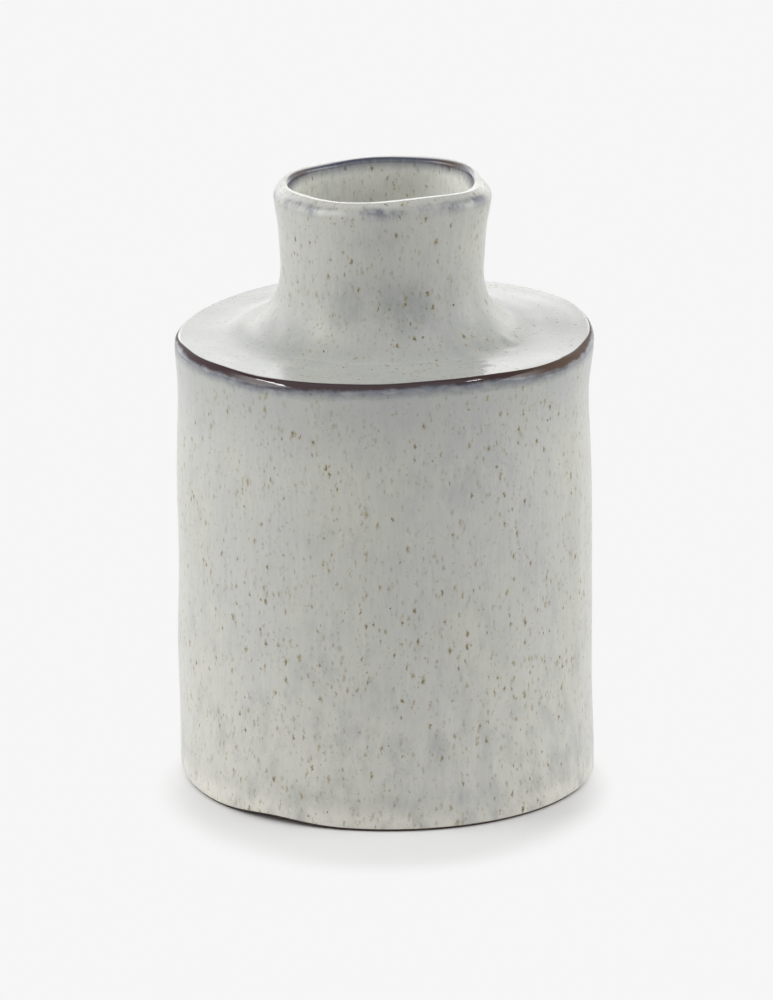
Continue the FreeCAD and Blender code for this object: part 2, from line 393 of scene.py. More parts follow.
def arc(centre, radius, start, end, step):
    """Places round a centre, from one direction in degrees to another."""
    count = max(int(abs(math.radians(end - start)) * radius / step), 2) + 1
    turn = np.radians(np.linspace(start, end, count))
    return np.stack([centre[0] + radius * np.cos(turn), centre[1] + radius * np.sin(turn)], -1)


def curve(knots, step):
    """A smooth line through knots: cubic pieces whose slope at a knot is that of the
    line from the knot before it to the one after it."""
    knots = np.array(knots, float)
    slopes = np.gradient(knots, axis=0)
    pieces = []
    for first, second, leave, reach in zip(knots, knots[1:], slopes, slopes[1:]):
        count = max(int(math.dist(first, second) / step), 1)
        share = np.linspace(0, 1, count, endpoint=False)[:, None]
        pieces.append(
            (2 * share ** 3 - 3 * share ** 2 + 1) * first + (share ** 3 - 2 * share ** 2 + share) * leave
            + (3 * share ** 2 - 2 * share ** 3) * second + (share ** 3 - share ** 2) * reach)
    return np.concatenate(pieces + [knots[-1:]])


def joined(*lines):
    """Lines end to end, with the places that two of them share kept once."""
    places = np.concatenate(lines)
    keep = np.ones(len(places), bool)
    keep[1:] = np.linalg.norm(np.diff(places, axis=0), axis=1) > SAME_PLACE
    return places[keep]


def sunk(line, depth):
    """The line moved to its left, by a depth for each place."""
    along = np.gradient(line, axis=0)
    along = along / np.linalg.norm(along, axis=1, keepdims=True)
    return line + np.stack([-along[:, 1], along[:, 0]], -1) * np.reshape(depth, (-1, 1))


def ways(line):
    """How far along the line each place is."""
    return np.concatenate([[0.0], np.cumsum(np.linalg.norm(np.diff(line, axis=0), axis=1))])


def bulge_end(way, width):
    """A share that rises from 0 to 1 over a width, round like the edge of a bead."""
    short = np.clip(1 - way / width, 0, 1)
    return np.sqrt(1 - short ** 2)


def rim_line(body):
    """The rim's worn edge, flatter in the middle: arcs end to end from the wall in."""
    place = np.array([body.rim_radius, 0.0])
    lines = []
    for start, end, share in RIM_ARCS:
        line = arc((0, 0), share * body.rim_rounding, start, end, 0.16 * MM)
        lines.append(line - line[0] + place)
        place = lines[-1][-1]
    return joined(*lines) + (0, body.shoulder_height - place[1])


def skins(body, neck):
    """The vase's finished outside, as lines of (radius, height).

    They run up the wall, over the rim, in along the shoulder, up the root, the neck and
    the lip, and over the crest. The bead is the lower end of the wall's glaze.
    """
    top = body.shoulder_height
    rim = rim_line(body)
    rim_start = rim[0][1]
    bead = arc((body.foot_radius - body.coat, body.bare_foot + body.coat), body.coat, -90, 0, 0.12 * MM)
    wall = curve([
        (body.foot_radius, body.bare_foot + body.coat), (body.foot_radius - 0.35 * MM, 30 * MM),
        (body.middle_radius, 66 * MM), (body.middle_radius - 0.1 * MM, 108 * MM),
        (body.waist_radius, body.waist_height), (body.rim_radius - 0.35 * MM, rim_start - 8 * MM),
        (body.rim_radius, rim_start - 3 * MM), (body.rim_radius, rim_start)], 1.2 * MM)
    root, leg = neck.root_radius, neck.sweep
    shoulder = curve([
        tuple(rim[-1]), (64 * MM, top + 0.10 * MM),
        (root + leg, top + 0.25 * MM), (root + 0.60 * leg, top + 0.085 * leg),
        (root + 0.32 * leg, top + 0.33 * leg), (root + 0.125 * leg, top + 0.61 * leg),
        (root + 0.03 * leg, top + 0.90 * leg), (root - 0.1 * MM, top + 1.20 * leg),
        (root + 0.12 * MM, top + 1.50 * leg), (neck.flare_radius, neck.flare_height),
        (neck.lip_radius - 0.55 * MM, neck.lip_height - 4.5 * MM),
        (neck.lip_radius, neck.lip_height)], 0.9 * MM)
    lip = arc((neck.lip_radius - neck.lip_rounding, neck.lip_height), neck.lip_rounding, 0, 62, 0.35 * MM)
    roll = arc((0, 0), 14 * MM, 90, 98, 0.3 * MM)
    crest = arc((neck.bore_radius + neck.crest_rounding, 0), neck.crest_rounding, 98, 180, 0.3 * MM)
    roll = roll - roll[-1] + crest[0]
    crest = joined(roll, crest) + (0, neck.crest_height - roll[0][1])
    half_way = (0.5 * (lip[-1][0] + crest[0][0]), neck.crest_height - 0.75 * MM)
    slope = curve([lip[-1], half_way, tuple(crest[0])], 0.4 * MM)
    return {
        "bead": bead, "wall": joined(wall), "rim": rim, "top": joined(shoulder, lip, slope), "crest": crest}


def clay_wall(body, lines):
    """The clay under the wall's glaze: sunk by a coat that thins towards the rim."""
    wall = lines["wall"]
    left = ways(wall)[-1] - ways(wall)
    return sunk(wall, body.coat * bulge_end(left, 5 * MM))


def clay_top(body, lines):
    """The clay under the shoulder's and the neck's glaze, which thins at both ends."""
    top = lines["top"]
    gone = ways(top)
    return sunk(top, body.coat * bulge_end(gone, 3 * MM) * bulge_end(gone[-1] - gone, 6 * MM))


def cut_below(line, height):
    """The part of a rising line below a height, with a place added at the height."""
    place = (np.interp(height, line[:, 1], line[:, 0]), height)
    return np.concatenate([line[line[:, 1] < height - CUT_SPARE], [place]])


def cut_above(line, height):
    """The part of a rising line above a height, with a place added at the height."""
    place = (np.interp(height, line[:, 1], line[:, 0]), height)
    return np.concatenate([[place], line[line[:, 1] > height + CUT_SPARE]])


def neck_side(body, neck, lines):
    """The clay of the neck above its root coil, and the height where it starts."""
    top = clay_top(body, lines)
    rise = body.shoulder_height + 1.3 * neck.sweep
    return top[(top[:, 1] > rise) & (top[:, 0] < neck.lip_radius + MM)], rise


def turned(name, outline, body, neck, around=320):
    """A closed piece: its outline of (radius, height) carried round the axis.

    The outline runs with the solid on its left. Place i along it and angle j give the
    vertex hand_made(radius i, angle j, height i). An outline that starts and ends on
    the axis is closed there by fans; any other is closed on itself.
    """
    on_axis = outline[0][0] < SAME_PLACE
    inner = outline[1:-1] if on_axis else outline
    angle = np.arange(around) * (2 * np.pi / around)
    radius, height = inner[:, :1], inner[:, 1:]
    x, y, z = hand_made(radius, angle, height, body, neck)
    rows = len(inner)
    places = np.stack([x, y, z], -1).reshape(-1, 3)
    index = np.arange(rows * around).reshape(rows, around)
    ahead = np.roll(index, -1, axis=1)
    if on_axis:
        low, low_ahead, high, high_ahead = index[:-1], ahead[:-1], index[1:], ahead[1:]
    else:
        low, low_ahead = index, ahead
        high, high_ahead = np.roll(index, -1, axis=0), np.roll(ahead, -1, axis=0)
    faces = np.stack([low, low_ahead, high_ahead, high], -1).reshape(-1, 4)
    loops = faces.ravel()
    sizes = np.full(len(faces), 4)
    if on_axis:
        first = np.full(around, len(places))
        ends = [hand_made(np.array(r), np.array(0.0), np.array(h), body, neck) for r, h in outline[[0, -1]]]
        places = np.concatenate([places, np.array(ends)])
        fan_low = np.stack([first, ahead[0], index[0]], -1)
        fan_high = np.stack([first + 1, index[-1], ahead[-1]], -1)
        loops = np.concatenate([loops, fan_low.ravel(), fan_high.ravel()])
        sizes = np.concatenate([sizes, np.full(2 * around, 3)])
    mesh = bpy.data.meshes.new(name)
    mesh.vertices.add(len(places))
    mesh.vertices.foreach_set("co", places.astype(np.float32).ravel())
    mesh.loops.add(len(loops))
    mesh.loops.foreach_set("vertex_index", loops.astype(np.int32))
    mesh.polygons.add(len(sizes))
    starts = np.concatenate([[0], np.cumsum(sizes)[:-1]])
    mesh.polygons.foreach_set("loop_start", starts.astype(np.int32))
    mesh.update(calc_edges=True)
    for title, values in skin_marks(radius, angle, height, body, neck).items():
        flat = values.reshape(rows * around, -1)
        if on_axis:
            flat = np.concatenate([flat, flat[:1], flat[-1:]])
        kind, key = ("FLOAT", "value") if flat.shape[1] == 1 else ("FLOAT_VECTOR", "vector")
        layer = mesh.attributes.new(title, kind, "POINT")
        layer.data.foreach_set(key, flat.astype(np.float32).ravel())
    mesh.shade_smooth()
    mesh.set_sharp_from_angle(angle=math.radians(48))
    if mesh.validate():
        raise RuntimeError(f"{name} has faulty faces")
    piece = bpy.data.objects.new(name, mesh)
    bpy.context.scene.collection.objects.link(piece)
    return piece


class Bench:
    """Places the nodes of one tree and links them, so that a finish reads as steps."""

    def __init__(self, tree):
        self.tree = tree

    def feed(self, socket, value):
        if isinstance(value, bpy.types.NodeSocket):
            self.tree.links.new(value, socket)
        elif value is not None:
            socket.default_value = value

    def node(self, kind, inputs=None, **settings):
        made = self.tree.nodes.new(kind)
        for key, value in settings.items():
            setattr(made, key, value)
        for socket, value in (inputs or {}).items():
            self.feed(made.inputs[socket], value)
        return made

    def math(self, operation, first, second=0.0, clamp=False):
        inputs = {0: first, 1: second}
        return self.node("ShaderNodeMath", inputs, operation=operation, use_clamp=clamp).outputs[0]

    def plus(self, first, second):
        return self.math("ADD", first, second)

    def minus(self, first, second):
        return self.math("SUBTRACT", first, second)

    def times(self, first, second, clamp=False):
        return self.math("MULTIPLY", first, second, clamp)

    def vectors(self, operation, first, second):
        return self.node("ShaderNodeVectorMath", {0: first, 1: second}, operation=operation).outputs[0]

    def axes(self, vector):
        return self.node("ShaderNodeSeparateXYZ", {"Vector": vector}).outputs

    def step(self, value, low, high):
        """0 at low, 1 at high, smooth between."""
        inputs = {"Value": value, "From Min": low, "From Max": high}
        return self.node("ShaderNodeMapRange", inputs, interpolation_type="SMOOTHSTEP").outputs[0]

    def mix(self, share, first, second):
        """The first colour where the share is 0, the second where it is 1."""
        return self.node("ShaderNodeMix", {0: share, 6: first, 7: second}, data_type="RGBA").outputs[2]

    def laid(self, colour, mask, strength, over):
        """A colour with another laid over it by a mask, at some strength."""
        return self.mix(self.times(mask, strength), colour, four(over))

    def noise(self, vector, scale, detail=2.0, roughness=0.5, output="Fac"):
        inputs = {"Scale": scale, "Detail": detail, "Roughness": roughness, "Vector": vector}
        return self.node("ShaderNodeTexNoise", inputs).outputs[output]

    def stretched(self, vector, scale, turn=(0, 0, 0)):
        return self.node("ShaderNodeMapping", {"Vector": vector, "Rotation": turn, "Scale": scale}).outputs[0]

    def attribute(self, name, output="Fac"):
        return self.node("ShaderNodeAttribute", attribute_name=name).outputs[output]

    def add(self, title, **inputs):
        """The outputs of a node that holds one of the shared groups."""
        return self.node("ShaderNodeGroup", inputs, node_tree=bpy.data.node_groups[title]).outputs


def bench_for(owner):
    """The bench of the emptied tree of a material or a world."""
    owner.use_nodes = True
    owner.node_tree.nodes.clear()
    return Bench(owner.node_tree)


def group(name, vectors, numbers, outputs):
    """The bench, inputs and exit of a new shader node group. It takes vectors, by name,
    and numbers, by name and default, and gives numbers."""
    tree = bpy.data.node_groups.new(name, "ShaderNodeTree")
    for title in vectors:
        tree.interface.new_socket(name=title, in_out="INPUT", socket_type="NodeSocketVector")
    for title, default in numbers.items():
        socket = tree.interface.new_socket(name=title, in_out="INPUT", socket_type="NodeSocketFloat")
        socket.default_value = default
    for title in outputs:
        tree.interface.new_socket(name=title, in_out="OUTPUT", socket_type="NodeSocketFloat")
    bench = Bench(tree)
    return bench, bench.node("NodeGroupInput").outputs, bench.node("NodeGroupOutput").inputs


def iron_specks():
    """Scattered drops: distance to the seed of each cell of a cellular pattern, kept in
    a random share of the cells and drawn with a random size and a soft edge."""
    bench, given, out = group(
        "iron_specks", ["Place"],
        {"Cell": 3.0, "Tall": 1.6, "Share": 0.4, "Size": 0.3, "Soft": 0.5, "Clusters": 0.3}, ["Mask", "Core"])
    per_cell = bench.math("DIVIDE", 1000.0, given["Cell"])
    wobble = bench.noise(given["Place"], 900.0, 1.0, output="Color")
    wobble = bench.vectors("SUBTRACT", wobble, (0.5, 0.5, 0.5))
    wobble = bench.node("ShaderNodeVectorMath", {0: wobble, "Scale": 0.0016}, operation="SCALE").outputs[0]
    moved = bench.vectors("ADD", given["Place"], wobble)
    flat = bench.math("DIVIDE", 1.0, given["Tall"])
    squeeze = bench.node("ShaderNodeCombineXYZ", {"X": 1.0, "Y": 1.0, "Z": flat}).outputs[0]
    moved = bench.vectors("MULTIPLY", moved, squeeze)
    cells = bench.node("ShaderNodeTexVoronoi", {"Vector": moved, "Scale": per_cell, "Randomness": 1.0})
    parts = bench.node("ShaderNodeSeparateColor", {"Color": cells.outputs["Color"]}).outputs
    crowd = bench.noise(given["Place"], 62.0, 1.0)
    crowd = bench.times(bench.minus(crowd, 0.5), given["Clusters"])
    share = bench.plus(given["Share"], bench.times(crowd, 4.0))
    kept = bench.math("LESS_THAN", parts["Red"], share)
    spread = bench.plus(bench.times(parts["Green"], 0.8), 0.6)
    size = bench.times(bench.math("DIVIDE", given["Size"], given["Cell"]), spread)
    inner = bench.times(size, bench.minus(1.0, given["Soft"]))
    drop = bench.step(cells.outputs["Distance"], size, inner)
    bench.feed(out["Mask"], bench.times(drop, kept))
    middle = bench.step(cells.outputs["Distance"], bench.times(size, 0.62), bench.times(size, 0.2))
    dark = bench.times(bench.math("GREATER_THAN", parts["Blue"], 0.45), kept)
    bench.feed(out["Core"], bench.times(middle, dark))


def clouded_glaze():
    """Broad clouds where the glaze lies thicker, and fine streaks where it ran down."""
    bench, given, out = group(
        "clouded_glaze", ["Place", "Flow"], {}, ["Cloud", "Mottle", "Streak", "Grain"])
    cloud = bench.noise(bench.stretched(given["Place"], (1, 1, 0.55)), 34.0, 3.0, 0.55)
    bench.feed(out["Cloud"], bench.step(cloud, 0.2, 0.8))
    bench.feed(out["Mottle"], bench.noise(bench.stretched(given["Place"], (1, 1, 0.6)), 120.0, 4.0, 0.65))
    bench.feed(out["Streak"], bench.noise(bench.stretched(given["Flow"], (58, 58, 105)), 1.0, 3.0, 0.6))
    bench.feed(out["Grain"], bench.noise(bench.stretched(given["Place"], (1, 1, 0.28)), 560.0, 2.0, 0.6))


def glaze_break():
    """Where glaze thins at an edge: a dark break out to Width and a blue veil out to
    Reach, both measured in millimetres from the sharp side and made ragged by noise."""
    bench, given, out = group(
        "glaze_break", ["Flow"], {"Way": 0.0, "Width": 1.6, "Reach": 3.5, "Crisp": 0.25, "Ragged": 0.8},
        ["Break", "Veil"])
    fingers = bench.noise(bench.stretched(given["Flow"], (20, 20, 300)), 1.0, 4.0, 0.65)
    fingers = bench.times(bench.minus(fingers, 0.5), bench.times(given["Ragged"], 4.0))
    far = bench.plus(given["Way"], fingers)
    starts = bench.step(given["Way"], bench.times(given["Crisp"], -1.0), given["Crisp"])
    outer, inner = bench.plus(given["Width"], BREAK_SOFTNESS), bench.minus(given["Width"], BREAK_SOFTNESS)
    dark = bench.step(far, outer, inner)
    veil = bench.step(far, given["Reach"], bench.times(given["Width"], 0.8))
    bench.feed(out["Break"], bench.times(dark, starts))
    bench.feed(out["Veil"], bench.times(veil, starts))


def fired_skin():
    """The height of a fired glaze in millimetres: slow waves, an orange-peel ripple and
    brushed lines that follow Flow."""
    bench, given, out = group(
        "fired_skin", ["Place", "Flow"], {"Waves": 0.1, "Ripple": 0.01, "Brush": 0.02}, ["Height"])
    waves = bench.times(bench.noise(given["Place"], 90.0), given["Waves"])
    ripple = bench.times(bench.noise(given["Place"], 620.0), given["Ripple"])
    brush = bench.noise(bench.stretched(given["Flow"], (5, 5, 620)), 1.0, 3.0, 0.65)
    brush = bench.times(brush, given["Brush"])
    bench.feed(out["Height"], bench.plus(bench.plus(waves, ripple), brush))


def four(colour, brightness=1.0):
    """A colour at some brightness, up to white, with alpha 1."""
    return (*[min(part * brightness, 1.0) for part in colour], 1.0)


def glaze_material(name, look, waves, ripple, brush, roughness, speck_share=1.0, painted_light_gain=1.0):
    """The glaze: clouded grey-green with iron specks, a creamy band above the foot and smoky
    smudges, darker near the rim; it thins through a blue veil to dark brown over the rim
    and the lip. Painted light lightens the lower wall towards the foot, and can brighten
    the whole glaze."""
    bench = bench_for(bpy.data.materials.new(name))
    place = bench.node("ShaderNodeTexCoord").outputs["Object"]
    flow = bench.attribute("flow", "Vector")
    tint = bench.axes(bench.attribute("tint", "Vector"))
    below = bench.attribute("below_rim")
    crest = bench.attribute("off_crest")
    patches = bench.attribute("patches")

    clouds = bench.add("clouded_glaze", Place=place, Flow=flow)
    colour = bench.mix(clouds["Cloud"], four(look.celadon, painted_light_gain), four(look.lavender, painted_light_gain))
    streak = bench.step(clouds["Streak"], 0.3, 0.8)
    colour = bench.mix(bench.times(streak, 0.5), colour, four(look.celadon, 1.12 * painted_light_gain))
    grain = bench.step(clouds["Grain"], 0.5, 0.8)
    colour = bench.laid(colour, grain, 0.24, look.smoke)
    mottle = bench.step(clouds["Mottle"], 0.46, 0.78)
    colour = bench.laid(colour, mottle, 0.25, look.smoke)
    # Darker towards the smoke colour over the shoulder's outer edge, the rim and the top of the wall.
    darker_near_rim = bench.times(bench.step(below, 42.0, 2.0), bench.step(below, -36.0, -20.0))
    darker_near_rim = bench.times(darker_near_rim, 0.42)
    colour = bench.mix(darker_near_rim, colour, four(look.smoke))
    # Laid as the warm band above the foot, and over the lower wall as painted light from the floor.
    cream_and_painted_light = bench.times(tint["X"], bench.step(clouds["Mottle"], 0.70, 0.40))
    colour = bench.laid(colour, cream_and_painted_light, 0.82, look.cream_and_painted_light)
    smoke = bench.times(tint["Y"], bench.step(clouds["Mottle"], 0.3, 0.6))
    colour = bench.mix(smoke, colour, four(look.smoke))

    for kind, (cell, tall, share, size, soft, crowd, hue, strength) in SPECKS.items():
        share = share * speck_share if kind == "drops" else share
        specks = bench.add(
            "iron_specks", Place=place, Cell=cell, Tall=tall, Share=share, Size=size, Soft=soft,
            Clusters=crowd)
        colour = bench.laid(colour, specks["Mask"], strength, getattr(look, hue))
        if kind == "drops":
            colour = bench.laid(colour, specks["Core"], CORE_STRENGTH, look.rust)
    pits = bench.times(specks["Mask"], -0.02)

    wide = bench.plus(bench.attribute("break_width"), bench.times(tint["Z"], 0.5))
    rim = bench.add("glaze_break", Way=below, Width=wide, Reach=7.8, Crisp=0.18, Ragged=0.6, Flow=flow)
    wisps = bench.noise(bench.stretched(place, (160, 160, 560), (0, 0.62, 0)), 1.0, 3.0, 0.6)
    wisps = bench.step(wisps, 0.25, 0.6)
    wisps = bench.plus(0.55, bench.times(wisps, 0.42))
    colour = bench.mix(bench.times(rim["Veil"], wisps), colour, four(look.veil))
    broken = bench.mix(tint["Z"], four(look.dark), four(look.umber))
    colour = bench.mix(rim["Break"], colour, broken)

    cloud = bench.step(clouds["Mottle"], 0.38, 0.62)
    lip = bench.times(bench.step(crest, 2.6, 4.6), bench.step(crest, 8.6, 5.4))
    lip = bench.times(lip, bench.times(patches, bench.plus(cloud, 0.35), clamp=True))
    colour = bench.laid(colour, lip, 0.85, look.veil)
    behind = bench.step(bench.axes(flow)["Y"], 0.0, 0.5)
    inside = bench.minus(bench.minus(bench.times(behind, 1.5), crest), 1.0)
    wide = bench.plus(2.2, tint["Z"])
    mouth = bench.add("glaze_break", Way=inside, Width=wide, Reach=6.5, Crisp=0.6, Ragged=0.4, Flow=flow)
    colour = bench.laid(colour, mouth["Veil"], 0.8, look.veil)
    edge = bench.mix(tint["Z"], four(look.ink), four(look.umber))
    colour = bench.mix(bench.times(mouth["Break"], 0.9), colour, edge)

    skin = bench.add("fired_skin", Place=place, Flow=flow, Waves=waves, Ripple=ripple, Brush=brush)
    height = bench.plus(skin["Height"], pits)
    bump = bench.node("ShaderNodeBump", {"Height": height, "Distance": MM, "Strength": 1.0}).outputs[0]
    dull = bench.plus(roughness, bench.times(bench.step(clouds["Cloud"], 0.0, 1.0), 0.05))
    facing = bench.axes(flow)["Y"]
    front = bench.step(facing, -0.62, -0.80)
    on_crest = bench.times(bench.step(bench.math("ABSOLUTE", crest), 4.0, 2.0), 0.8)
    film = bench.math("MAXIMUM", bench.times(rim["Veil"], front), on_crest)
    dull = bench.plus(dull, bench.times(bench.step(below, -12.0, -24.0), 0.16))
    dry = bench.times(rim["Break"], bench.minus(1.0, front))
    dull = bench.plus(dull, bench.times(dry, 0.35))
    dull = bench.minus(dull, bench.times(film, 0.15))
    dull = bench.math("MAXIMUM", dull, 0.05)
    way = bench.axes(flow)["Z"]
    root = bench.times(bench.step(way, -0.152, -0.138), bench.step(way, -0.102, -0.116))
    shine = bench.minus(1.0, bench.times(root, 0.55))
    shine = bench.times(shine, bench.minus(1.0, bench.times(dry, 0.72)))
    shine = bench.times(shine, 0.5)
    shader = bench.node("ShaderNodeBsdfPrincipled", {
        "Base Color": colour, "Roughness": dull, "Normal": bump, "IOR": 1.5, "Specular IOR Level": shine})
    bench.node("ShaderNodeOutputMaterial", {"Surface": shader.outputs[0]})


def clay_material(name, look, brightness):
    """Fired stoneware: toasted brown with sand grains and a rough, pitted skin."""
    bench = bench_for(bpy.data.materials.new(name))
    place = bench.node("ShaderNodeTexCoord").outputs["Object"]
    toast = bench.noise(place, 60.0, 3.0)
    sand = bench.noise(place, 1400.0, 2.0, 0.7)
    toast = bench.step(toast, 0.35, 0.7)
    colour = bench.mix(toast, four(look.clay, brightness), four(look.clay, 1.9 * brightness))
    colour = bench.mix(bench.step(sand, 0.6, 0.75), colour, four(look.clay, 0.5 * brightness))
    bump = bench.node("ShaderNodeBump", {"Height": sand, "Distance": 0.08 * MM, "Strength": 1.0}).outputs[0]
    rough = bench.plus(0.78, bench.times(sand, 0.15))
    inputs = {"Base Color": colour, "Roughness": rough, "Normal": bump}
    shader = bench.node("ShaderNodeBsdfPrincipled", inputs)
    bench.node("ShaderNodeOutputMaterial", {"Surface": shader.outputs[0]})


def shared(context):
    """The vase's sizes and lines, with the finishes made once and used by each piece."""
    scene = context.scene
    body, neck, look = scene.vase_body, scene.vase_neck, scene.glaze_look
    if "iron_specks" not in bpy.data.node_groups:
        for maker in (iron_specks, clouded_glaze, glaze_break, fired_skin):
            maker()
        glaze_material("wall_finish", look, waves=0.10, ripple=0.010, brush=0.004, roughness=0.27)
        glaze_material(
            "shoulder_finish", look, waves=0.10, ripple=0.006, brush=0.010, roughness=0.12, speck_share=0.85)
        # Inside, the whole glaze is made half again as bright: painted light, standing in for light that
        # reaches into the mouth.
        glaze_material("inside_finish", look, waves=0.12, ripple=0.008, brush=0.006, roughness=0.2, painted_light_gain=1.5)
        clay_material("foot_finish", look, 1.0)
        clay_material("inner_finish", look, 3.0)
    return body, neck, skins(body, neck)


def finish_piece(piece, material, slot, *nodes):
    """Gives a piece its finish, and puts it in the place of its CAD nodes; slot is not used."""
    piece.data.materials.append(bpy.data.materials[material])
    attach(piece, "root")
    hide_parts(*nodes)


class VASE_OT_base_slab(bpy.types.Operator):
    """Makes the floor slab with its bare, bevelled foot"""
    bl_idname = "vase.base_slab"
    bl_label = "Floor slab"

    def execute(self, context):
        body, neck, lines = shared(context)
        foot = body.foot_radius - body.coat
        side = cut_below(clay_wall(body, lines), body.floor_thickness)
        side[0] = (foot, body.bare_foot)
        outline = joined(
            straight((0, 0), (foot - 4 * MM, 0), 4 * MM),
            straight((foot - 4 * MM, 0), (foot - 0.6 * MM, 0), 0.8 * MM),
            straight((foot - 0.5 * MM, 0.08 * MM), (foot, body.bare_foot), 0.3 * MM), side,
            straight(side[-1], (0, body.floor_thickness), 5 * MM))
        piece = turned("floor_slab", outline, body, neck)
        finish_piece(piece, "foot_finish", "bare_clay", "base_slab")
        return {"FINISHED"}


class VASE_OT_body_wall(bpy.types.Operator):
    """Makes the rolled slab of the wall"""
    bl_idname = "vase.body_wall"
    bl_label = "Wall slab"

    def execute(self, context):
        body, neck, lines = shared(context)
        seam = body.shoulder_height - body.slab_thickness
        side = cut_below(cut_above(clay_wall(body, lines), body.floor_thickness), seam)
        outline = joined(
            straight((body.inside_radius, body.floor_thickness), side[0], 2 * MM), side,
            straight(side[-1], (body.inside_radius, seam), 2 * MM),
            straight((body.inside_radius, seam), (body.inside_radius, body.floor_thickness), 5 * MM))
        piece = turned("wall_slab", outline[:-1], body, neck, 240)
        finish_piece(piece, "inner_finish", "clay", "body_wall")
        return {"FINISHED"}


class VASE_OT_shoulder_slab(bpy.types.Operator):
    """Makes the shoulder slab, whose rim shows through a thin film of glaze"""
    bl_idname = "vase.shoulder_slab"
    bl_label = "Shoulder slab"

    def execute(self, context):
        body, neck, lines = shared(context)
        seam = body.shoulder_height - body.slab_thickness
        side = cut_above(clay_wall(body, lines), seam)
        top = clay_top(body, lines)
        shelf = body.shoulder_height - body.coat
        flat = top[(top[:, 1] < shelf + 0.5 * body.coat) & (top[:, 0] > body.inside_radius - 8 * MM)]
        outline = joined(
            straight((neck.bore_radius, seam), side[0], 3 * MM), side, lines["rim"], flat,
            straight((flat[-1][0] - 2 * MM, shelf), (neck.bore_radius, shelf), 2 * MM),
            straight((neck.bore_radius, shelf), (neck.bore_radius, seam), 2 * MM))
        piece = turned("shoulder_slab_clay", outline[:-1], body, neck)
        finish_piece(piece, "shoulder_finish", "rim_clay", "shoulder_slab")
        return {"FINISHED"}


class VASE_OT_neck_collar(bpy.types.Operator):
    """Makes the collar with its rounded lip"""
    bl_idname = "vase.neck_collar"
    bl_label = "Neck collar"

    def execute(self, context):
        body, neck, lines = shared(context)
        shelf = body.shoulder_height - body.coat
        side, _ = neck_side(body, neck, lines)
        foot = (side[0][0], shelf)
        outline = joined(
            straight((neck.bore_radius, shelf), foot, 1.5 * MM), straight(foot, side[0], 4 * MM), side,
            lines["crest"], straight(lines["crest"][-1], (neck.bore_radius, shelf), 2 * MM))
        piece = turned("neck_collar_clay", outline[:-1], body, neck)
        finish_piece(piece, "shoulder_finish", "clay", "neck_collar")
        return {"FINISHED"}


class VASE_OT_root_coil(bpy.types.Operator):
    """Makes the coil worked into the corner of neck and shoulder"""
    bl_idname = "vase.root_coil"
    bl_label = "Root coil"

    def execute(self, context):
        body, neck, lines = shared(context)
        shelf = body.shoulder_height - body.coat
        top = clay_top(body, lines)
        side, rise = neck_side(body, neck, lines)
        collar = side[0][0]
        inside = collar + 0.01 * MM
        within = top[:, 0] < neck.root_radius + 1.1 * neck.sweep
        sweep = top[(top[:, 1] <= rise) & (top[:, 1] > shelf + 0.02 * MM) & within]
        outline = joined(
            [(inside, shelf)], straight((collar + 4 * MM, shelf), (sweep[0][0], shelf), 3 * MM), sweep,
            straight((inside, rise - MM), (inside, shelf), 3 * MM))
        piece = turned("root_coil_clay", outline[:-1], body, neck, 240)
        finish_piece(piece, "inner_finish", "clay", "neck_root_coil")
        return {"FINISHED"}


class VASE_OT_body_glaze(bpy.types.Operator):
    """Makes the coat of glaze on the wall"""
    bl_idname = "vase.body_glaze"
    bl_label = "Wall glaze"

    def execute(self, context):
        body, neck, lines = shared(context)
        outline = joined(lines["bead"], lines["wall"], clay_wall(body, lines)[::-1])
        piece = turned("glaze_on_wall", outline[:-1], body, neck)
        finish_piece(piece, "wall_finish", "body_glaze", "body_glaze")
        return {"FINISHED"}


class VASE_OT_shoulder_glaze(bpy.types.Operator):
    """Makes the coat of glaze over the shoulder, the neck and the lip"""
    bl_idname = "vase.shoulder_glaze"
    bl_label = "Shoulder and neck glaze"

    def execute(self, context):
        body, neck, lines = shared(context)
        outline = joined(lines["top"], clay_top(body, lines)[::-1])[:-1]
        piece = turned("glaze_on_shoulder", outline, body, neck)
        finish_piece(piece, "shoulder_finish", "shoulder_glaze", "shoulder_glaze")
        return {"FINISHED"}


class VASE_OT_liner_glaze(bpy.types.Operator):
    """Makes the coat of glaze inside"""
    bl_idname = "vase.liner_glaze"
    bl_label = "Inside glaze"

    def execute(self, context):
        body, neck, lines = shared(context)
        low, wall = body.floor_thickness, body.inside_radius
        seam = body.shoulder_height - body.slab_thickness
        start = lines["crest"][-1]
        bore, thick = neck.bore_radius, body.liner
        outline = joined(
            straight((0, low), (wall, low), 4 * MM), straight((wall, low), (wall, seam), 4 * MM),
            straight((wall, seam), (bore, seam), 4 * MM), straight((bore, seam), start, 1.5 * MM),
            curve([start, (bore - 0.7 * thick, start[1] - 3 * MM), (bore - thick, start[1] - 10 * MM)], MM),
            straight((bore - thick, start[1] - 10 * MM), (bore - thick, seam - thick), 2 * MM),
            straight((bore - thick, seam - thick), (wall - thick, seam - thick), 4 * MM),
            straight((wall - thick, seam - thick), (wall - thick, low + thick), 4 * MM),
            straight((wall - thick, low + thick), (0, low + thick), 4 * MM))
        piece = turned("glaze_inside", outline, body, neck, 240)
        finish_piece(piece, "inside_finish", "liner_glaze", "liner_glaze")
        return {"FINISHED"}


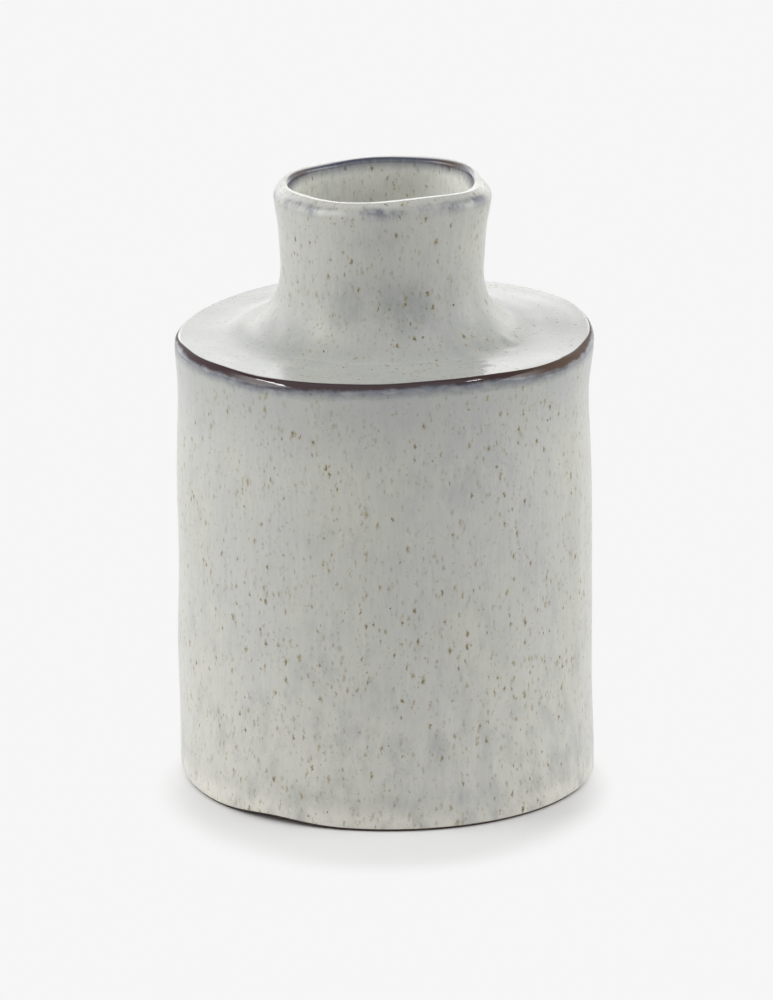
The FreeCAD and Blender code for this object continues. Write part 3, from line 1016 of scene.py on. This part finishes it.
class VASE_OT_stage(bpy.types.Operator):
    """Makes the floor, the lamps, the world and the camera"""
    bl_idname = "vase.stage"
    bl_label = "Studio"

    def execute(self, context):
        stage = context.scene.stage_look
        self.floor(stage)
        self.world(context, stage)
        for name, turn, rise, far, wide, tall, radiance in LAMPS:
            self.lamp(name, math.radians(turn), math.radians(rise), far, wide, tall, radiance)
        camera = bpy.data.objects.new("camera", bpy.data.cameras.new("camera"))
        camera.location = (stage.camera_side, -stage.camera_distance, stage.camera_height)
        camera.rotation_euler = (math.pi / 2 - stage.camera_pitch, 0, 0)
        camera.data.sensor_width = 36
        camera.data.lens = stage.lens
        camera.data.clip_end = 50
        context.scene.collection.objects.link(camera)
        context.scene.camera = camera
        context.scene.view_settings.view_transform = "Standard"
        return {"FINISHED"}

    def seen(self, bench):
        """1 for what the camera sees, straight or by a mirror or through glass."""
        path = bench.node("ShaderNodeLightPath").outputs
        seen = bench.math("MAXIMUM", path["Is Camera Ray"], path["Is Glossy Ray"])
        return bench.math("MAXIMUM", seen, path["Is Transmission Ray"])

    def beyond(self, bench, place, back, reach, low, high):
        """0 inside an ellipse on the floor and 1 outside: its centre lies on the Y axis,
        reach is its half-width and half-length, and low and high are shares of them."""
        place = bench.node("ShaderNodeMapping", {
            "Vector": place, "Location": (0, -back / reach[1], 0),
            "Scale": (1 / reach[0], 1 / reach[1], 1)}).outputs[0]
        far = bench.node("ShaderNodeVectorMath", {0: place}, operation="LENGTH").outputs["Value"]
        return bench.step(far, low, high)

    def floor(self, stage):
        """Pale paper that keeps the shadow near the vase and glows white beyond it. To the
        camera it is a little darker than to the light that it throws back: painted shade
        that deepens the shadow.
        """
        side = 6.0
        mesh = bpy.data.meshes.new("floor")
        corners = [(-side, -side, 0), (side, -side, 0), (side, side, 0), (-side, side, 0)]
        mesh.from_pydata(corners, [], [(0, 1, 2, 3)])
        floor = bpy.data.objects.new("floor", mesh)
        bpy.context.scene.collection.objects.link(floor)
        material = bpy.data.materials.new("paper")
        bench = bench_for(material)
        place = bench.node("ShaderNodeTexCoord").outputs["Object"]
        away = bench.math(
            "MINIMUM", self.beyond(bench, place, -0.030, (0.088, 0.098), 0.74, 0.95),
            self.beyond(bench, place, 0.020, (0.070, 0.064), 0.90, 1.10))
        seen = self.seen(bench)
        # Seen by the camera the paper is 5% darker than for bounced light: painted shade that deepens the
        # shadow near the vase.
        white = bench.mix(seen, four([stage.white] * 3), four([stage.white * 0.95] * 3))
        paper = bench.node("ShaderNodeBsdfDiffuse", {"Color": white}).outputs[0]
        glow = bench.node("ShaderNodeEmission", {"Color": (1, 1, 1, 1), "Strength": stage.white}).outputs[0]
        share = bench.times(away, seen)
        mixed = bench.node("ShaderNodeMixShader", {0: share, 1: paper, 2: glow}).outputs[0]
        bench.node("ShaderNodeOutputMaterial", {"Surface": mixed})
        mesh.materials.append(material)

    def world(self, context, stage):
        """White to the eye, darker overhead, and an even fill light for all else."""
        world = bpy.data.worlds.new("studio")
        context.scene.world = world
        bench = bench_for(world)
        white = (1, 1, 1, 1)
        up = bench.axes(bench.node("ShaderNodeTexCoord").outputs["Generated"])["Z"]
        overhead = bench.times(bench.step(up, 0.5, 0.8), 0.6)
        wall = bench.times(stage.white, bench.minus(1.0, overhead))
        shown = bench.node("ShaderNodeBackground", {"Color": white, "Strength": wall}).outputs[0]
        fill = bench.node("ShaderNodeBackground", {"Color": white, "Strength": stage.fill}).outputs[0]
        mixed = bench.node("ShaderNodeMixShader", {0: self.seen(bench), 1: fill, 2: shown}).outputs[0]
        bench.node("ShaderNodeOutputWorld", {"Surface": mixed})

    def lamp(self, name, turn, rise, far, wide, tall, radiance):
        """A flat lamp that faces the vase. Its power is pi x radiance x area."""
        data = bpy.data.lights.new(name, "AREA")
        data.shape = "RECTANGLE"
        data.size, data.size_y = wide, tall
        data.energy = math.pi * radiance * wide * tall
        lamp = bpy.data.objects.new(name, data)
        lamp.location = (
            far * math.sin(turn) * math.cos(rise), -far * math.cos(turn) * math.cos(rise),
            LAMP_AIM + far * math.sin(rise))
        lamp.rotation_euler = (math.pi / 2 - rise, 0, turn)
        lamp.visible_camera = False
        bpy.context.scene.collection.objects.link(lamp)


class VASE_PT_panel(bpy.types.Panel):
    """Lists the steps that build the vase"""
    bl_idname = "VASE_PT_panel"
    bl_label = "Bottle vase"
    bl_space_type = "VIEW_3D"
    bl_region_type = "UI"
    bl_category = "Vase"

    def draw(self, context):
        for group_name in GROUPS:
            settings = getattr(context.scene, group_name)
            for title in settings.__annotations__:
                self.layout.prop(settings, title)
        for step in STEPS:
            self.layout.operator(step.bl_idname)


STEPS = (
    VASE_OT_base_slab, VASE_OT_body_wall, VASE_OT_shoulder_slab, VASE_OT_neck_collar, VASE_OT_root_coil,
    VASE_OT_body_glaze, VASE_OT_shoulder_glaze, VASE_OT_liner_glaze, VASE_OT_stage)
GROUPS = {"vase_body": VaseBody, "vase_neck": VaseNeck, "glaze_look": GlazeLook, "stage_look": StageLook}


def register():
    for kind in (*GROUPS.values(), *STEPS, VASE_PT_panel):
        bpy.utils.register_class(kind)
    for name, kind in GROUPS.items():
        setattr(bpy.types.Scene, name, PointerProperty(type=kind))


def unregister():
    for name in GROUPS:
        delattr(bpy.types.Scene, name)
    for kind in (VASE_PT_panel, *reversed(STEPS), *reversed(GROUPS.values())):
        bpy.utils.unregister_class(kind)


def main():
    register()
    for step in STEPS:
        category, name = step.bl_idname.split(".")
        getattr(getattr(bpy.ops, category), name)()


if __name__ == "__main__":
    main()
